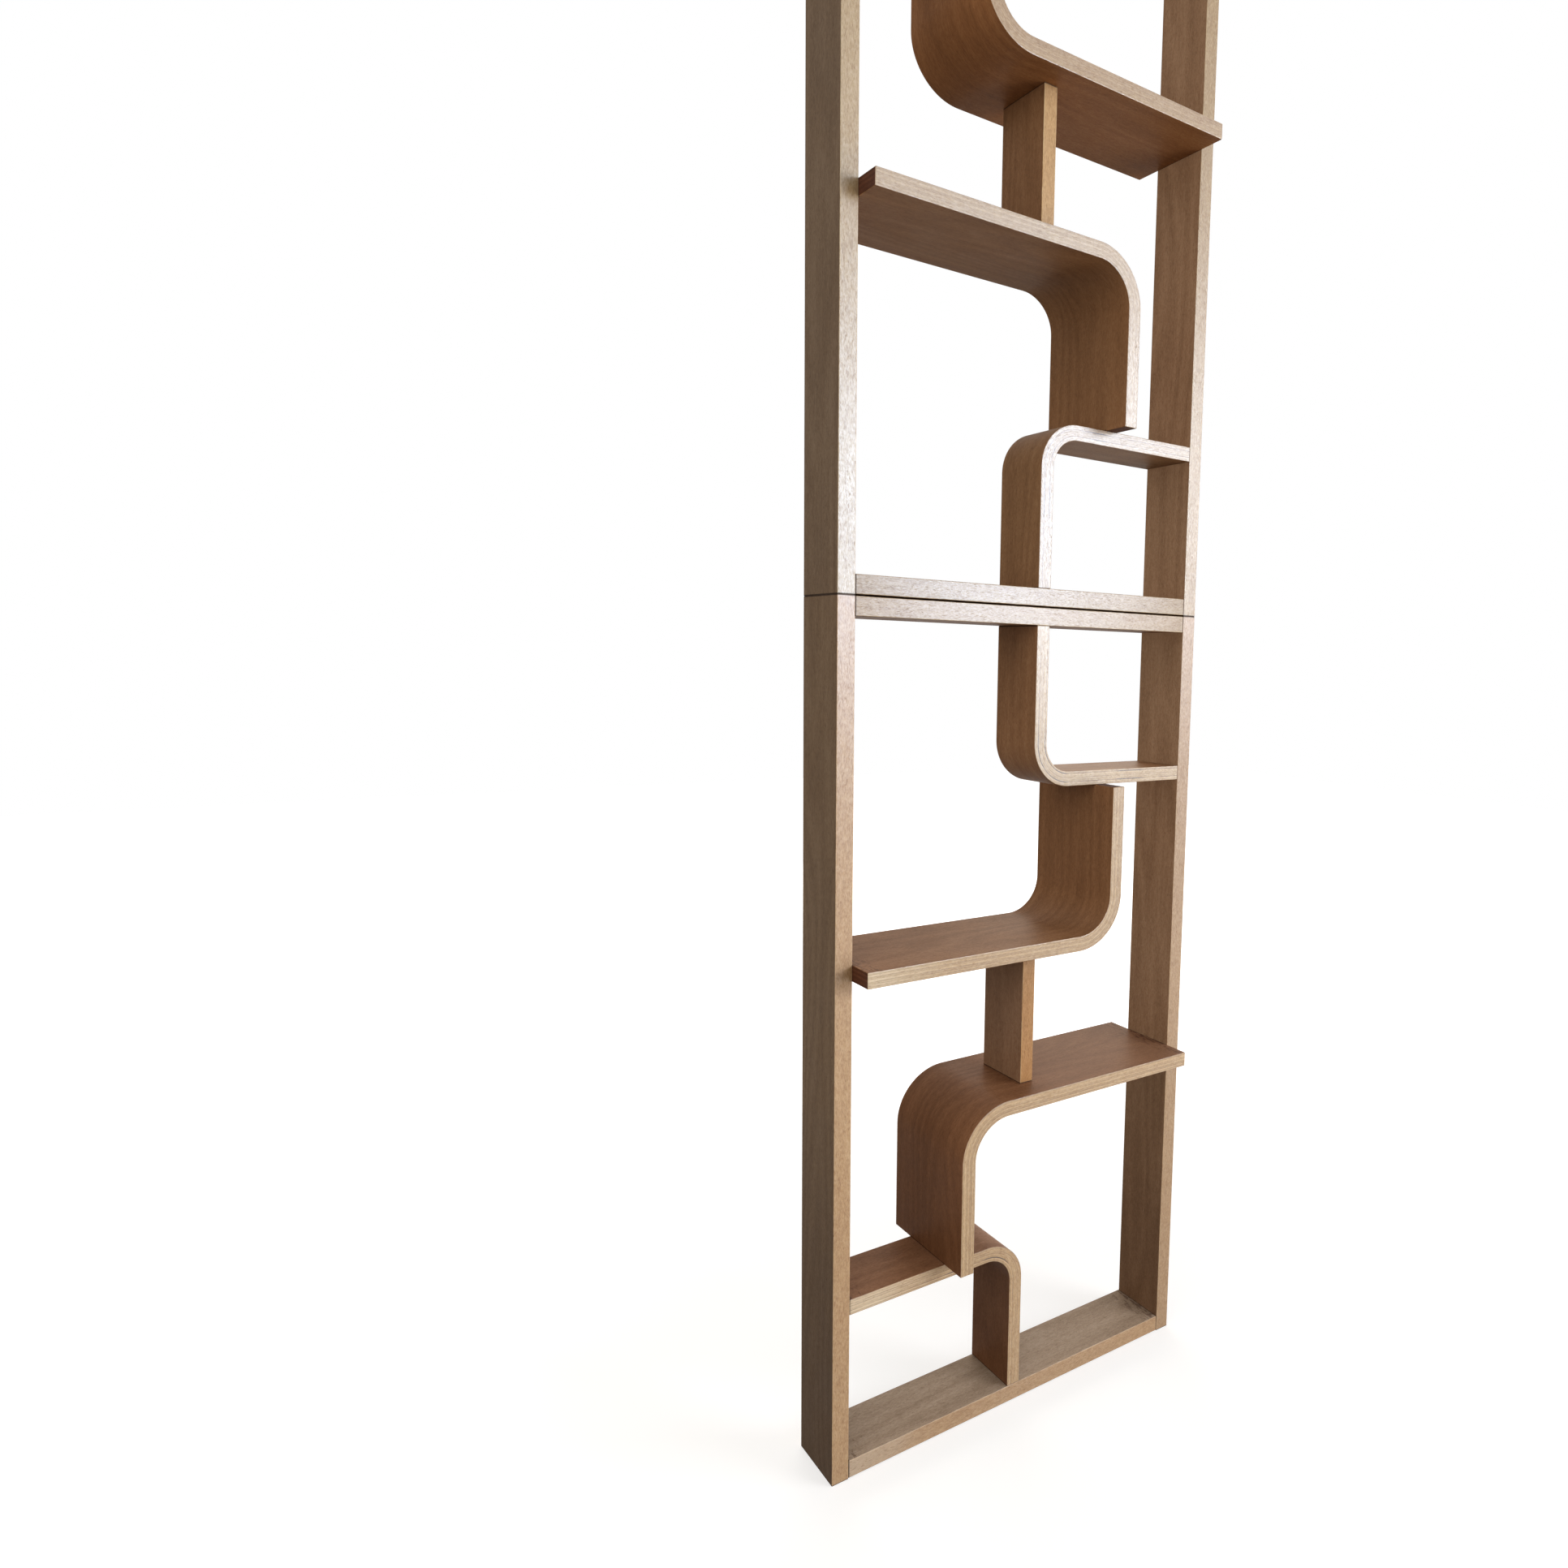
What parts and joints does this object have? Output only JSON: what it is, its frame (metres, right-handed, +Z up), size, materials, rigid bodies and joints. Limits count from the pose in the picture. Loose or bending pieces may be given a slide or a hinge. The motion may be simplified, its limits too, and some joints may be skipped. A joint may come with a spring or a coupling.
{
  "type": "spine bookshelf",
  "caption": "Tall open bookshelf of stacked wooden frames, with bent plywood shelves that wind up the middle like a spine and reach out front and back.",
  "frame": {"origin": "on the floor, at mid width and mid depth of the bookshelf", "axes": "+Z up along the height, +X to the right seen from the front, +Y to the back"},
  "size_m": [0.63, 0.18, 2.4],
  "materials": {
    "frame_wood": "satin lacquer",
    "bent_ply": "satin lacquer",
    "divider_wood": "satin lacquer",
    "dowel_beech": "plain turned beech"
  },
  "bodies": {
    "lower_module": {"lower_left_upright": "frame_wood", "lower_right_upright": "frame_wood", "lower_end_rail": "frame_wood", "lower_middle_rail": "frame_wood", "lower_small_shelf_left": "bent_ply", "lower_small_shelf_right": "bent_ply", "lower_deep_shelf_left": "bent_ply", "lower_deep_shelf_right": "bent_ply", "lower_divider": "divider_wood", "lower_corner_dowels": "dowel_beech", "lower_shelf_dowels": "dowel_beech", "lower_foot_dowels": "dowel_beech", "lower_divider_dowels": "dowel_beech", "stacking_pins": "dowel_beech"},
    "upper_module": {"upper_left_upright": "frame_wood", "upper_right_upright": "frame_wood", "upper_end_rail": "frame_wood", "upper_middle_rail": "frame_wood", "upper_small_shelf_left": "bent_ply", "upper_small_shelf_right": "bent_ply", "upper_deep_shelf_left": "bent_ply", "upper_deep_shelf_right": "bent_ply", "upper_divider": "divider_wood", "upper_corner_dowels": "dowel_beech", "upper_shelf_dowels": "dowel_beech", "upper_foot_dowels": "dowel_beech", "upper_divider_dowels": "dowel_beech"}
  },
  "joints": [
    {"name": "lift_off", "type": "slide", "parent": "lower_module", "child": "upper_module", "axis": [0, 0, 1], "range_m": [0, 0.06]}
  ]
}
